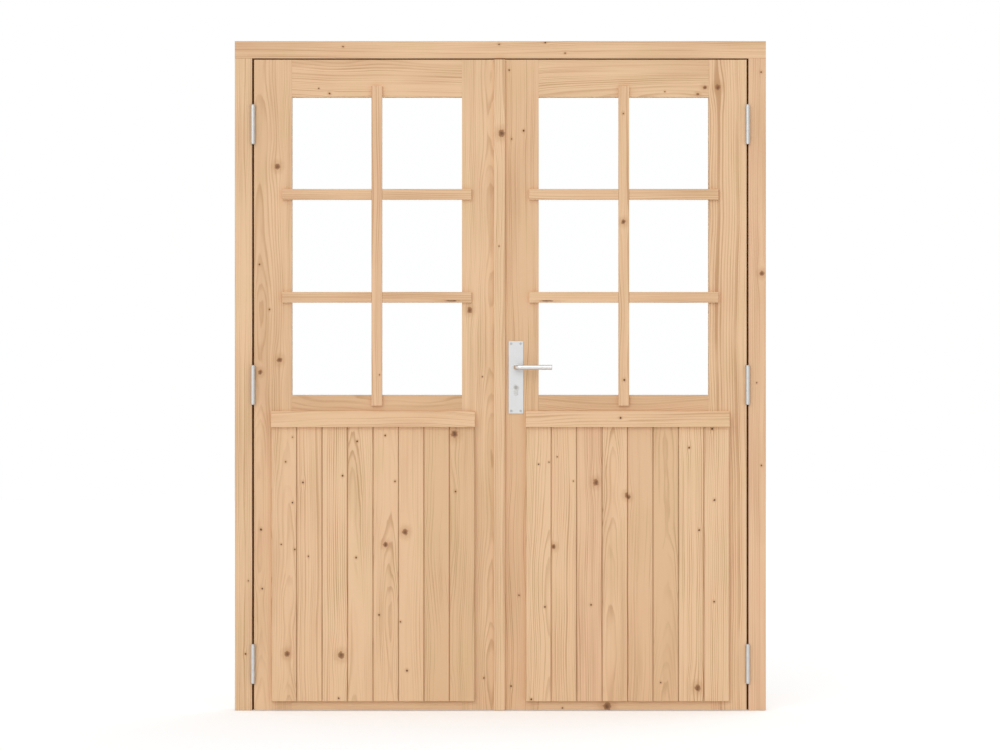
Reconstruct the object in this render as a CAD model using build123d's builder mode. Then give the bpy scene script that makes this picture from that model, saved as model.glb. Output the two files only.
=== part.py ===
from build123d import *
import os

os.makedirs("parts", exist_ok=True)

# A glazed timber double door in its frame, for a garden building.
# X runs along the wall, Y through it with the outside face towards -Y, and Z is up.
# The origin is on the floor, midway between the jambs, in the middle plane of the leaves.
# Pieces of a leaf are drawn on the right-hand (+X) side, and mirrored for the left leaf.

# Frame: two jambs and a head, rebated from the front so that a stop stands behind the leaves
frame_width = 1682.0
frame_height = 2120.0
frame_depth = 72.0
jamb_face = 55.0
head_face = 55.0
stop_width = 15.0
stop_clearance = 1.0
frame_arris = 1.2
corner_screw_length = 100.0
corner_screw_inset = 18.0

# Gaps round the leaves
hinge_gap = 6.0
head_gap = 4.0
meeting_gap = 3.0
floor_gap = 1.0

# Leaf frame: stiles and rails joined with stub tenons
leaf_thickness = 42.0
stile_width = 120.0
top_rail_width = 118.0
mid_rail_width = 120.0
bottom_rail_width = 120.0
mid_rail_top = 999.5
leaf_arris = 1.2
tenon_length = 35.0
tenon_thickness = 14.0
tenon_shoulder = 16.0
joint_clearance = 0.2

# Glazing: one pane a leaf, in a rebate from the back, held by four mitred beads
lip_thickness = 16.0
rebate_width = 12.0
glass_thickness = 4.0
glass_edge_clearance = 2.0
glass_bedding = 0.5
bead_clearance = 0.3
mitre_gap = 0.2

# Glazing bars planted on the front of the leaf, halved where they cross
bar_width = 34.0
bar_thickness = 12.0
bar_stile_lap = 30.0
bar_rail_lap = 34.0
bar_arris = 1.0
panes_high = 3

# Boarding planted on the front of the lower part: tongued, grooved and V-jointed boards
board_count = 8
board_thickness = 18.0
board_gap = 0.5
board_hinge_margin = 55.5
board_meeting_margin = 79.0
board_foot_margin = 30.0
v_chamfer = 2.8
tongue_thickness = 5.0
tongue_length = 6.0
tongue_from_back = 8.0
tongue_clearance = 0.3

# Weather rail over the tops of the boards
drip_rail_bottom = 898.0
drip_rail_height = 50.0
drip_rail_thickness = 32.0
drip_rail_flat = 9.0
drip_nose_height = 17.0
drip_groove = 3.0
drip_groove_inset = 4.0
board_cover = 10.0

# Cover strip on the active leaf, lapping over the front of the other leaf
astragal_width = 35.5
astragal_thickness = 12.0
astragal_lap = 19.0
astragal_relief = 0.5
astragal_round = 2.5

# Butt hinges, three a leaf, with a loose pin
hinge_above_foot = 147.0
hinge_below_top = 205.0
knuckle_diameter = 14.0
knuckle_stack = 116.0
knuckle_count = 3
knuckle_clearance = 0.3
knuckle_stand_off = 0.3
hinge_plate_thickness = 2.5
hinge_plate_depth = 36.0
hinge_plate_relief = 0.6
pin_diameter = 8.0
pin_clearance = 0.08
cap_height = 5.0
cap_chamfer = 1.6
hinge_screw_spacing = 42.0
hinge_screw_from_axis = 24.0

# Countersunk wood screws
screw_diameter = 4.0
screw_head_diameter = 8.0
screw_clearance = 0.15
hinge_screw_length = 28.0
fitting_screw_length = 12.0

# Mortise lock in the active leaf's meeting stile
backset = 48.0
lever_height = 1087.0
cylinder_drop = 64.0
case_depth = 75.0
case_thickness = 15.0
case_above_lever = 41.0
case_below_lever = 115.0
case_wall = 1.5
case_clearance = 0.3
forend_width = 20.0
forend_thickness = 3.0
forend_margin = 22.0
forend_screw_margin = 9.0
strike_thickness = 2.0
bolt_width = 10.8
bolt_clearance = 0.25
latch_height = 18.0
latch_reach = 10.3
latch_lever_offset = 13.0
latch_body_length = 24.0
latch_tail_height = 5.0
latch_tooth_length = 6.0
latch_play = 0.5
dead_bolt_height = 34.0
dead_bolt_length = 31.0
dead_bolt_throw = 20.0
pocket_spare = 2.0
follower_diameter = 20.0
follower_boss_diameter = 15.0
follower_lobe_reach = 16.0
follower_lobe_width = 5.0
spindle_size = 8.0
fit_clearance = 0.1

# Profile cylinder and its turning plug
cylinder_half_length = 27.0
cylinder_diameter = 17.0
cylinder_web = 10.0
cylinder_height = 33.0
cylinder_clearance = 0.3
cylinder_bridge = 10.0
plug_diameter = 12.0
cam_width = 9.6
cam_gap = 0.3
cam_reach = 13.0
keyway_width = 2.0
keyway_height = 8.0
keyway_depth = 9.0

# Backplates and round-bar lever handles, the same inside and outside
plate_width = 47.0
plate_height = 230.0
plate_thickness = 3.0
plate_corner = 3.5
plate_round = 0.8
plate_rise = 83.0
plate_screw_inset = 8.5
lever_diameter = 16.0
lever_length = 114.0
lever_stand_off = 45.0
lever_bend = 15.0
lever_end_chamfer = 0.8
lever_hole_diameter = 20.0
spindle_socket = 27.0

# Slide bolts at the top and foot of the passive leaf, on its inside face
slide_rod_diameter = 10.0
slide_rod_length = 132.0
slide_travel = 20.0
slide_rest_gap = 3.0
slide_from_edge = 30.0
slide_plate_width = 34.0
slide_plate_thickness = 2.5
slide_plate_margin = 10.0
slide_axis_rise = 8.0
guide_width = 17.0
guide_height = 10.0
guide_round = 4.0
guide_spacing = 42.0
knob_diameter = 9.0
knob_length = 16.0
keeper_clearance = 0.6
keeper_depth = 22.0

# Places worked out from the sizes
leaf_front = -leaf_thickness / 2
leaf_back = leaf_thickness / 2
frame_back = leaf_front + frame_depth
stop_front = leaf_back + stop_clearance
jamb_outer = frame_width / 2
jamb_inner = jamb_outer - jamb_face
jamb_height = frame_height - head_face
stop_inner = jamb_inner - stop_width
stop_bottom = jamb_height - stop_width
hinge_edge = jamb_inner - hinge_gap
meeting_edge = meeting_gap / 2
leaf_bottom = floor_gap
leaf_top = jamb_height - head_gap
pane_start = meeting_edge + stile_width
pane_end = hinge_edge - stile_width
pane_top = leaf_top - top_rail_width
pane_width = pane_end - pane_start
pane_height = pane_top - mid_rail_top
pane_middle = (pane_start + pane_end) / 2
glass_front = leaf_front + lip_thickness + glass_bedding
bead_front = glass_front + glass_thickness + bead_clearance
board_start = meeting_edge + board_meeting_margin
board_width = hinge_edge - board_hinge_margin - board_start
board_pitch = board_width / board_count
board_foot = leaf_bottom + board_foot_margin
board_front = leaf_front - board_thickness
hinge_heights = (
    leaf_bottom + hinge_above_foot,
    (leaf_bottom + leaf_top) / 2,
    leaf_top - hinge_below_top,
)
hinge_axis = (hinge_edge + hinge_gap / 2, leaf_front - knuckle_diameter / 2 - knuckle_stand_off)
lock_x = meeting_edge + backset
cylinder_z = lever_height - cylinder_drop
latch_z = lever_height + latch_lever_offset
case_start = meeting_edge + forend_thickness
case_top = lever_height + case_above_lever
case_foot = lever_height - case_below_lever
plate_z = lever_height - plate_height / 2 + plate_rise
slide_x = meeting_edge + slide_from_edge
slide_y = leaf_back + slide_plate_thickness + slide_axis_rise


def save(piece, name):
    """Labels a finished piece and writes it."""
    piece.label = name
    export_step(piece, f"parts/{name}.step")


def save_pair(piece, name):
    """Writes the right leaf's piece, and its mirror image for the left leaf."""
    left = mirror(piece, about=Plane.YZ)
    save(piece, f"right_{name}")
    save(left, f"left_{name}")


def wood_screw(length):
    """A countersunk screw with the middle of its head at the origin, driven towards -Z."""
    head, shank = screw_head_diameter / 2, screw_diameter / 2
    with BuildPart() as screw:
        with BuildSketch(Plane.XZ):
            with BuildLine():
                Polyline(
                    (0, 0),
                    (head, 0),
                    (shank, shank - head),
                    (shank, head - length),
                    (0, -length),
                    close=True,
                )
            make_face()
        revolve(axis=Axis.Z)
    return screw.part


def pilot_holes(planes, length):
    """Cuts a straight hole for each screw, from its head inwards."""
    with Locations(*planes):
        Cylinder(
            radius=screw_diameter / 2 + screw_clearance,
            height=length + 1,
            align=(Align.CENTER, Align.CENTER, Align.MAX),
            mode=Mode.SUBTRACT,
        )


def countersinks(planes, thickness):
    """Cuts a countersunk hole for each screw through a plate of this thickness."""
    with Locations(*planes):
        CounterSinkHole(
            radius=screw_diameter / 2 + screw_clearance,
            counter_sink_radius=screw_head_diameter / 2 + screw_clearance,
            depth=thickness + 1,
            counter_sink_angle=90,
        )


def hinge_screw_planes(x, outward):
    """Where the screws of the three right-hand hinges enter at this x, facing outward along X."""
    y = hinge_axis[1] + hinge_screw_from_axis
    return [
        Plane(origin=(x, y, z + step * hinge_screw_spacing), x_dir=(0, 1, 0), z_dir=(outward, 0, 0))
        for z in hinge_heights
        for step in (-1, 0, 1)
    ]


# Where every screw goes
leaf_hinge_screws = hinge_screw_planes(hinge_edge + hinge_plate_thickness, 1)
jamb_hinge_screws = hinge_screw_planes(jamb_inner - hinge_plate_thickness, -1)
corner_screws = [
    Plane(origin=(jamb_outer - jamb_face / 2, y, frame_height), z_dir=(0, 0, 1))
    for y in (leaf_front + corner_screw_inset, frame_back - corner_screw_inset)
]
forend_screws = [
    Plane(origin=(meeting_edge, 0, z), x_dir=(0, 1, 0), z_dir=(-1, 0, 0))
    for z in (
        case_foot - forend_margin + forend_screw_margin,
        case_top + forend_margin - forend_screw_margin,
    )
]
plate_screws = [
    Plane(
        origin=(lock_x + dx, side * (leaf_back + plate_thickness), plate_z + dz),
        x_dir=(1, 0, 0),
        z_dir=(0, side, 0),
    )
    for side in (-1, 1)
    for dx in (plate_screw_inset - plate_width / 2, plate_width / 2 - plate_screw_inset)
    for dz in (plate_screw_inset - plate_height / 2, plate_height / 2 - plate_screw_inset)
]


def euro_profile(clearance):
    """The outline of a profile cylinder, a circle on a web, grown by a clearance."""
    circle, web = cylinder_diameter / 2, cylinder_web / 2
    foot = circle + web - cylinder_height
    with BuildSketch() as outline:
        with Locations((lock_x, cylinder_z)):
            Circle(circle + clearance)
        with Locations((lock_x, cylinder_z + foot / 2)):
            Rectangle(cylinder_web + 2 * clearance, -foot)
        with Locations((lock_x, cylinder_z + foot)):
            Circle(web + clearance)
    return outline.sketch


# Frame
def jamb():
    """An upright of the frame: a rebated post that stands under the head."""
    with BuildPart() as post:
        with BuildSketch() as section:
            with BuildLine():
                Polyline(
                    (jamb_outer, leaf_front),
                    (jamb_inner, leaf_front),
                    (jamb_inner, stop_front),
                    (stop_inner, stop_front),
                    (stop_inner, frame_back),
                    (jamb_outer, frame_back),
                    close=True,
                )
            make_face()
            chamfer(section.vertices().group_by(Axis.Y)[0], frame_arris)
            chamfer(section.vertices().group_by(Axis.Y)[-1], frame_arris)
        extrude(amount=jamb_height)
        pilot_holes(jamb_hinge_screws, hinge_screw_length)
        pilot_holes(corner_screws, corner_screw_length)
    return post.part


right_jamb = jamb()
save(right_jamb, "right_jamb")
save(mirror(right_jamb, about=Plane.YZ), "left_jamb")

with BuildPart() as frame_head:
    with BuildSketch(Plane.YZ.offset(-jamb_outer)) as section:
        with Locations(((leaf_front + frame_back) / 2, jamb_height + head_face / 2)):
            Rectangle(frame_depth, head_face)
        chamfer(section.vertices(), frame_arris)
    extrude(amount=frame_width)
    with BuildSketch(Plane.YZ.offset(-stop_inner)) as stop_section:
        with Locations(((stop_front + frame_back) / 2, jamb_height + frame_arris)):
            Rectangle(frame_back - stop_front, 2 * (stop_width + frame_arris))
        chamfer(stop_section.vertices().group_by(Axis.Y)[0].sort_by(Axis.X)[-1:], frame_arris)
    extrude(amount=2 * stop_inner)
    for side in (-1, 1):
        countersinks(
            [Plane(origin=(side * p.origin.X, p.origin.Y, p.origin.Z)) for p in corner_screws],
            head_face,
        )
    with Locations((-slide_x, slide_y, stop_bottom)):
        Cylinder(
            radius=slide_rod_diameter / 2 + keeper_clearance,
            height=keeper_depth,
            align=(Align.CENTER, Align.CENTER, Align.MIN),
            mode=Mode.SUBTRACT,
        )
save(frame_head.part, "frame_head")


# Leaf frame
def rail_spans():
    """The foot and top of the three rails, from the bottom up."""
    return (
        (leaf_bottom, leaf_bottom + bottom_rail_width),
        (mid_rail_top - mid_rail_width, mid_rail_top),
        (pane_top, leaf_top),
    )


def rail(foot, top, rebated):
    """A rail between the stiles, with its two stub tenons, rebated for glass on one edge or none."""
    height = top - foot
    with BuildPart() as cross:
        with BuildSketch(Plane.YZ.offset(pane_start)):
            with Locations((0, (foot + top) / 2)):
                Rectangle(leaf_thickness, height)
            if rebated:
                depth = leaf_thickness - lip_thickness
                edge = foot + rebate_width / 2 if rebated == "foot" else top - rebate_width / 2
                with Locations((leaf_back - depth / 2, edge)):
                    Rectangle(depth, rebate_width, mode=Mode.SUBTRACT)
        extrude(amount=pane_width)
        with BuildSketch(Plane.YZ.offset(pane_start - tenon_length)):
            with Locations((0, (foot + top) / 2)):
                Rectangle(tenon_thickness, height - 2 * tenon_shoulder)
        extrude(amount=pane_width + 2 * tenon_length)
    return cross.part


def cut_mortises(shoulder, direction):
    """Cuts the three mortises into a stile, from its shoulder in the given X direction."""
    depth = tenon_length + joint_clearance
    for foot, top in rail_spans():
        with Locations((shoulder + direction * depth / 2, 0, (foot + top) / 2)):
            Box(
                depth,
                tenon_thickness + 2 * joint_clearance,
                top - foot - 2 * tenon_shoulder + 2 * joint_clearance,
                mode=Mode.SUBTRACT,
            )


def cut_glass_rebate(shoulder, direction):
    """Cuts the glass rebate into a stile, from the back, in the given X direction."""
    depth = leaf_thickness - lip_thickness
    with Locations(
        (shoulder + direction * rebate_width / 2, leaf_back - depth / 2, mid_rail_top + pane_height / 2)
    ):
        Box(rebate_width, depth, pane_height + 2 * rebate_width, mode=Mode.SUBTRACT)


def stile_blank(start, edge):
    """Draws a stile from this x, with its long outer edges eased."""
    with BuildSketch(Plane.XY.offset(leaf_bottom)) as section:
        with Locations((start + stile_width / 2, 0)):
            Rectangle(stile_width, leaf_thickness)
        chamfer(section.vertices().group_by(Axis.X)[edge], leaf_arris)
    extrude(section.sketch, amount=leaf_top - leaf_bottom)


with BuildPart() as hinge_stile:
    stile_blank(pane_end, -1)
    cut_mortises(pane_end, 1)
    cut_glass_rebate(pane_end, 1)
    pilot_holes(leaf_hinge_screws, hinge_screw_length)
save_pair(hinge_stile.part, "hinge_stile")

with BuildPart() as right_meeting_stile:
    stile_blank(meeting_edge, 0)
    cut_mortises(pane_start, -1)
    cut_glass_rebate(pane_start, -1)
    with Locations((meeting_edge, 0, (case_foot + case_top) / 2)):
        Box(
            forend_thickness + case_depth + case_clearance,
            case_thickness + 2 * case_clearance,
            case_top - case_foot + 2 * case_clearance,
            align=(Align.MIN, Align.CENTER, Align.CENTER),
            mode=Mode.SUBTRACT,
        )
        Box(
            forend_thickness,
            forend_width,
            case_top - case_foot + 2 * forend_margin,
            align=(Align.MIN, Align.CENTER, Align.CENTER),
            mode=Mode.SUBTRACT,
        )
    with BuildSketch(Plane.XZ):
        with Locations((lock_x, lever_height)):
            Circle(lever_hole_diameter / 2)
        add(euro_profile(cylinder_clearance))
    extrude(amount=leaf_thickness / 2, both=True, mode=Mode.SUBTRACT)
    pilot_holes(forend_screws, fitting_screw_length)
    pilot_holes(plate_screws, fitting_screw_length)
save(right_meeting_stile.part, "right_meeting_stile")

# The keeping side of the lock: the passive leaf's meeting stile, drawn in its place on the left
latch_pocket = latch_reach - meeting_gap + pocket_spare
dead_bolt_pocket = dead_bolt_throw - meeting_gap + pocket_spare
strike_foot = cylinder_z - dead_bolt_height / 2 - forend_margin
strike_top = latch_z + latch_height / 2 + forend_margin
strike_screws = [
    Plane(origin=(-meeting_edge, 0, z), x_dir=(0, 1, 0), z_dir=(1, 0, 0))
    for z in (strike_foot + forend_screw_margin, strike_top - forend_screw_margin)
]
strike_openings = (
    (latch_z, latch_height, latch_pocket),
    (cylinder_z, dead_bolt_height, dead_bolt_pocket),
)


def slide_levels(upward):
    """The rod's foot, and the two guides' middles, of the upper or the lower slide bolt."""
    if upward:
        rod_foot = stop_bottom - slide_rest_gap - slide_rod_length
    else:
        rod_foot = leaf_bottom + slide_rest_gap
    tip_guide = slide_travel + guide_height
    middle = rod_foot + slide_rod_length - tip_guide if upward else rod_foot + tip_guide
    far_guide = middle - guide_spacing if upward else middle + guide_spacing
    return rod_foot, sorted((middle, far_guide))


def slide_screw_planes():
    """Where the four screws of each slide bolt's plate enter."""
    planes = []
    for upward in (True, False):
        guides = slide_levels(upward)[1]
        reach = guide_height / 2 + slide_plate_margin / 2
        for x in (-slide_x - slide_plate_width / 3, -slide_x + slide_plate_width / 3):
            for z in (guides[0] - reach, guides[1] + reach):
                origin = (x, leaf_back + slide_plate_thickness, z)
                planes.append(Plane(origin=origin, x_dir=(1, 0, 0), z_dir=(0, 1, 0)))
    return planes


slide_screws = slide_screw_planes()

with BuildPart() as left_meeting_stile:
    stile_blank(-meeting_edge - stile_width, -1)
    cut_mortises(-pane_start, 1)
    cut_glass_rebate(-pane_start, 1)
    with Locations((-meeting_edge, 0, (strike_foot + strike_top) / 2)):
        Box(
            strike_thickness,
            forend_width,
            strike_top - strike_foot,
            align=(Align.MAX, Align.CENTER, Align.CENTER),
            mode=Mode.SUBTRACT,
        )
    for z, height, depth in strike_openings:
        with Locations((-meeting_edge, 0, z)):
            Box(
                depth,
                bolt_width + 2 * pocket_spare,
                height + 2 * pocket_spare,
                align=(Align.MAX, Align.CENTER, Align.CENTER),
                mode=Mode.SUBTRACT,
            )
    pilot_holes(strike_screws, fitting_screw_length)
    pilot_holes(slide_screws, fitting_screw_length)
save(left_meeting_stile.part, "left_meeting_stile")

for name, (foot, top), rebated in zip(
    ("bottom_rail", "mid_rail", "top_rail"), rail_spans(), (None, "top", "foot")
):
    save_pair(rail(foot, top, rebated), name)

# Glazing
with BuildPart() as glass:
    with BuildSketch(Plane.XZ.offset(-glass_front)):
        with Locations((pane_middle, mid_rail_top + pane_height / 2)):
            grown = 2 * (rebate_width - glass_edge_clearance)
            Rectangle(pane_width + grown, pane_height + grown)
    extrude(amount=-glass_thickness)
save_pair(glass.part, "glass")


def bead(inner_a, inner_b, outward):
    """One mitred bead in the XZ plane, from the pane's corner a to b, as wide as the rebate allows."""
    width = rebate_width - bead_clearance
    direction = (Vector(*inner_b) - Vector(*inner_a)).normalized()
    a = Vector(*inner_a) + direction * mitre_gap
    b = Vector(*inner_b) - direction * mitre_gap
    along = direction * width
    out = Vector(*outward) * width
    with BuildSketch(Plane.XZ.offset(-bead_front)) as strip:
        with BuildLine():
            Polyline(a, b, b + along + out, a - along + out, close=True)
        make_face()
    extrude(strip.sketch, amount=bead_front - leaf_back)


with BuildPart() as glass_beads:
    low, high = (pane_start, mid_rail_top), (pane_end, pane_top)
    corners = [low, (high[0], low[1]), high, (low[0], high[1])]
    for n, outward in enumerate([(0, -1), (1, 0), (0, 1), (-1, 0)]):
        bead(corners[n], corners[(n + 1) % 4], outward)
save_pair(glass_beads.part, "glass_beads")

# Glazing bars
bar_mid_y = leaf_front - bar_thickness / 2
bar_back_y = leaf_front - bar_thickness / 4
bar_front_y = leaf_front - bar_thickness * 3 / 4
pane_step = (pane_height + bar_width) / panes_high
bar_heights = [mid_rail_top + n * pane_step - bar_width / 2 for n in range(1, panes_high)]
halving = bar_width + 2 * joint_clearance

with BuildPart() as vertical_bar:
    with BuildSketch(Plane.XY.offset(mid_rail_top - bar_rail_lap)) as section:
        with Locations((pane_middle, bar_mid_y)):
            Rectangle(bar_width, bar_thickness)
        chamfer(section.vertices().group_by(Axis.Y)[0], bar_arris)
    extrude(amount=pane_height + 2 * bar_rail_lap)
    for z in bar_heights:
        with Locations((pane_middle, bar_back_y, z)):
            Box(bar_width, bar_thickness / 2, halving, mode=Mode.SUBTRACT)
save_pair(vertical_bar.part, "vertical_bar")

with BuildPart() as horizontal_bars:
    for z in bar_heights:
        with BuildSketch(Plane.YZ.offset(pane_start - bar_stile_lap)) as section:
            with Locations((bar_mid_y, z)):
                Rectangle(bar_thickness, bar_width)
            chamfer(section.vertices().group_by(Axis.X)[0], bar_arris)
        extrude(amount=pane_width + 2 * bar_stile_lap)
        with Locations((pane_middle, bar_front_y, z)):
            Box(halving, bar_thickness / 2, bar_width, mode=Mode.SUBTRACT)
save_pair(horizontal_bars.part, "horizontal_bars")


# Boarding, numbered from the meeting edge
def board(number):
    """One board of the lower panel, with a tongue towards the hinges and a groove behind it."""
    start = board_start + (number - 1) * board_pitch
    tongue_y = leaf_front - tongue_from_back
    with BuildPart() as plank:
        with BuildSketch(Plane.XY.offset(board_foot)) as section:
            with Locations((start + board_pitch / 2, leaf_front - board_thickness / 2)):
                Rectangle(board_pitch - board_gap, board_thickness)
            chamfer(section.vertices().group_by(Axis.Y)[0], v_chamfer)
            if number < board_count:
                with Locations((start + board_pitch - board_gap / 2, tongue_y)):
                    Rectangle(2 * tongue_length, tongue_thickness)
            if number > 1:
                with Locations((start + board_gap / 2, tongue_y)):
                    Rectangle(
                        2 * (tongue_length + tongue_clearance),
                        tongue_thickness + 2 * tongue_clearance,
                        mode=Mode.SUBTRACT,
                    )
        extrude(amount=drip_rail_bottom + board_cover - board_foot)
    return plank.part


for number in range(1, board_count + 1):
    save_pair(board(number), f"board_{number}")

# Weather rail: a flat top, a sloping face, an upright nose and a rebate over the boards
with BuildPart() as drip_rail:
    nose = leaf_front - drip_rail_thickness
    top = drip_rail_bottom + drip_rail_height
    seat = drip_rail_bottom + board_cover + joint_clearance
    shoulder = board_front - joint_clearance
    with BuildSketch(Plane.YZ.offset(board_start)):
        with BuildLine():
            Polyline(
                (leaf_front, top),
                (leaf_front - drip_rail_flat, top),
                (nose, drip_rail_bottom + drip_nose_height),
                (nose, drip_rail_bottom),
                (shoulder, drip_rail_bottom),
                (shoulder, seat),
                (leaf_front, seat),
                close=True,
            )
        make_face()
        with Locations((nose + drip_groove_inset + drip_groove / 2, drip_rail_bottom)):
            Rectangle(drip_groove, 2 * drip_groove, mode=Mode.SUBTRACT)
    extrude(amount=board_width)
save_pair(drip_rail.part, "drip_rail")

# Cover strip, relieved at the back where it laps over the passive leaf
with BuildPart() as astragal:
    with BuildSketch(Plane.XY.offset(leaf_bottom)) as section:
        with Locations((-meeting_edge - astragal_lap, leaf_front)):
            Rectangle(astragal_width, astragal_thickness, align=(Align.MIN, Align.MAX))
        fillet(section.vertices().group_by(Axis.Y)[0], astragal_round)
        with Locations((meeting_edge, leaf_front)):
            Rectangle(
                astragal_width, astragal_relief, align=(Align.MAX, Align.MAX), mode=Mode.SUBTRACT
            )
    extrude(amount=leaf_top - leaf_bottom)
save(astragal.part, "astragal")


# Hinges
def knuckle_feet(first):
    """The feet of every second knuckle of a hinge that stands on z = 0, from this one."""
    return [n * knuckle_stack / knuckle_count for n in range(first, knuckle_count, 2)]


def hinge_halves(plate_x, first_knuckle, screws):
    """Three hinge plates at this x, each with every second knuckle, bored for the pin."""
    knuckle = knuckle_diameter / 2
    plate_end = hinge_axis[1] + hinge_plate_depth
    plate_start = hinge_axis[1] + knuckle + hinge_plate_relief
    height = knuckle_stack / knuckle_count - knuckle_clearance
    with BuildPart() as halves:
        for z in hinge_heights:
            foot = z - knuckle_stack / 2
            with BuildSketch(Plane.XY.offset(foot)):
                with Locations((plate_x, plate_start)):
                    Rectangle(
                        hinge_plate_thickness, plate_end - plate_start, align=(Align.CENTER, Align.MIN)
                    )
            extrude(amount=knuckle_stack)
            for knuckle_foot in knuckle_feet(first_knuckle):
                with BuildSketch(Plane.XY.offset(foot + knuckle_foot + knuckle_clearance / 2)):
                    with Locations(hinge_axis):
                        Circle(knuckle)
                    with Locations((plate_x, hinge_axis[1])):
                        Rectangle(
                            hinge_plate_thickness,
                            plate_start - hinge_axis[1],
                            align=(Align.CENTER, Align.MIN),
                        )
                extrude(amount=height)
            with BuildSketch(Plane.XY.offset(foot)):
                with Locations(hinge_axis):
                    Circle(pin_diameter / 2 + pin_clearance)
            extrude(amount=knuckle_stack, mode=Mode.SUBTRACT)
        countersinks(screws, hinge_plate_thickness)
    return halves.part


leaf_plate_x = hinge_edge + hinge_plate_thickness / 2
frame_plate_x = jamb_inner - hinge_plate_thickness / 2
save_pair(hinge_halves(leaf_plate_x, 1, leaf_hinge_screws), "hinge_plates")
right_frame_halves = hinge_halves(frame_plate_x, 0, jamb_hinge_screws)

with BuildPart() as frame_hinge_plates:
    add(right_frame_halves)
    mirror(about=Plane.YZ)
save(frame_hinge_plates.part, "frame_hinge_plates")

with BuildPart() as hinge_pin:
    cap, half = knuckle_diameter / 2, knuckle_stack / 2
    tip = half + cap_height
    with BuildSketch(Plane.XZ):
        with BuildLine():
            Polyline(
                (0, -tip),
                (cap - cap_chamfer, -tip),
                (cap, cap_chamfer - tip),
                (cap, -half),
                (pin_diameter / 2, -half),
                (pin_diameter / 2, half),
                (cap, half),
                (cap, tip - cap_chamfer),
                (cap - cap_chamfer, tip),
                (0, tip),
                close=True,
            )
        make_face()
    revolve(axis=Axis.Z)

with BuildPart() as hinge_pins:
    with Locations(*[(side * hinge_axis[0], hinge_axis[1], z) for side in (-1, 1) for z in hinge_heights]):
        add(hinge_pin.part)
save(hinge_pins.part, "hinge_pins")


# Mortise lock
def case_box(inset, start):
    """The lock case's block, drawn in by this much, from this x."""
    with Locations((start, 0, (case_foot + case_top) / 2)):
        return Box(
            case_start + case_depth - inset - start,
            case_thickness - 2 * inset,
            case_top - case_foot - 2 * inset,
            align=(Align.MIN, Align.CENTER, Align.CENTER),
            mode=Mode.SUBTRACT if inset else Mode.ADD,
        )


with BuildPart() as lock_case:
    case_box(0, case_start)
    with Locations((meeting_edge, 0, (case_foot + case_top) / 2)):
        Box(
            forend_thickness,
            forend_width,
            case_top - case_foot + 2 * forend_margin,
            align=(Align.MIN, Align.CENTER, Align.CENTER),
        )
    case_box(case_wall, case_start)
    for z, height, _ in strike_openings:
        with Locations((meeting_edge, 0, z)):
            Box(
                forend_thickness,
                bolt_width + 2 * bolt_clearance,
                height + 2 * bolt_clearance,
                align=(Align.MIN, Align.CENTER, Align.CENTER),
                mode=Mode.SUBTRACT,
            )
    with BuildSketch(Plane.XZ):
        with Locations((lock_x, lever_height)):
            Circle(follower_boss_diameter / 2 + fit_clearance)
        add(euro_profile(cylinder_clearance))
    extrude(amount=case_thickness, both=True, mode=Mode.SUBTRACT)
    countersinks(forend_screws, forend_thickness)
save(lock_case.part, "lock_case")

with BuildPart() as latch_bolt:
    head_start = meeting_edge - latch_reach
    body_end = head_start + latch_reach + latch_body_length
    tooth_start = lock_x + follower_lobe_width / 2 + latch_play
    tooth_end = tooth_start + latch_tooth_length
    tail_top = latch_z + latch_height / 2
    tooth_foot = lever_height + follower_diameter / 2 + latch_play
    with BuildSketch(Plane.XZ.offset(-bolt_width / 2)):
        with Locations((head_start, latch_z)):
            Rectangle(body_end - head_start, latch_height, align=(Align.MIN, Align.CENTER))
        with Locations((body_end, tail_top)):
            Rectangle(tooth_end - body_end, latch_tail_height, align=(Align.MIN, Align.MAX))
        with Locations((tooth_start, tail_top)):
            Rectangle(latch_tooth_length, tail_top - tooth_foot, align=(Align.MIN, Align.MAX))
    extrude(amount=bolt_width)
    bevelled = latch_bolt.edges().filter_by(Axis.Z).group_by(Axis.X)[0].sort_by(Axis.Y)[-1]
    chamfer(bevelled, latch_reach - meeting_gap, bolt_width - 2)
save(latch_bolt.part, "latch_bolt")

with BuildPart() as dead_bolt:
    with Locations((meeting_edge + bolt_clearance, 0, cylinder_z)):
        Box(
            dead_bolt_length,
            bolt_width,
            dead_bolt_height,
            align=(Align.MIN, Align.CENTER, Align.CENTER),
        )
    chamfer(dead_bolt.faces().sort_by(Axis.X)[0].edges(), 1)
save(dead_bolt.part, "dead_bolt")

with BuildPart() as follower:
    inside = case_thickness / 2 - case_wall - bolt_clearance
    with BuildSketch(Plane.XZ):
        with Locations((lock_x, lever_height)):
            Circle(follower_diameter / 2)
            Rectangle(follower_lobe_width, follower_lobe_reach, align=(Align.CENTER, Align.MIN))
    extrude(amount=inside, both=True)
    with BuildSketch(Plane.XZ):
        with Locations((lock_x, lever_height)):
            Circle(follower_boss_diameter / 2)
    extrude(amount=case_thickness / 2, both=True)
    with BuildSketch(Plane.XZ):
        with Locations((lock_x, lever_height)):
            Rectangle(spindle_size + 2 * fit_clearance, spindle_size + 2 * fit_clearance)
    extrude(amount=case_thickness, both=True, mode=Mode.SUBTRACT)
save(follower.part, "follower")

with BuildPart() as strike_plate:
    with Locations((-meeting_edge, 0, (strike_foot + strike_top) / 2)):
        Box(
            strike_thickness,
            forend_width,
            strike_top - strike_foot,
            align=(Align.MAX, Align.CENTER, Align.CENTER),
        )
    for z, height, _ in strike_openings:
        with Locations((-meeting_edge - strike_thickness / 2, 0, z)):
            Box(
                strike_thickness,
                bolt_width + pocket_spare,
                height + pocket_spare,
                mode=Mode.SUBTRACT,
            )
    countersinks(strike_screws, strike_thickness)
save(strike_plate.part, "strike_plate")

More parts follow.
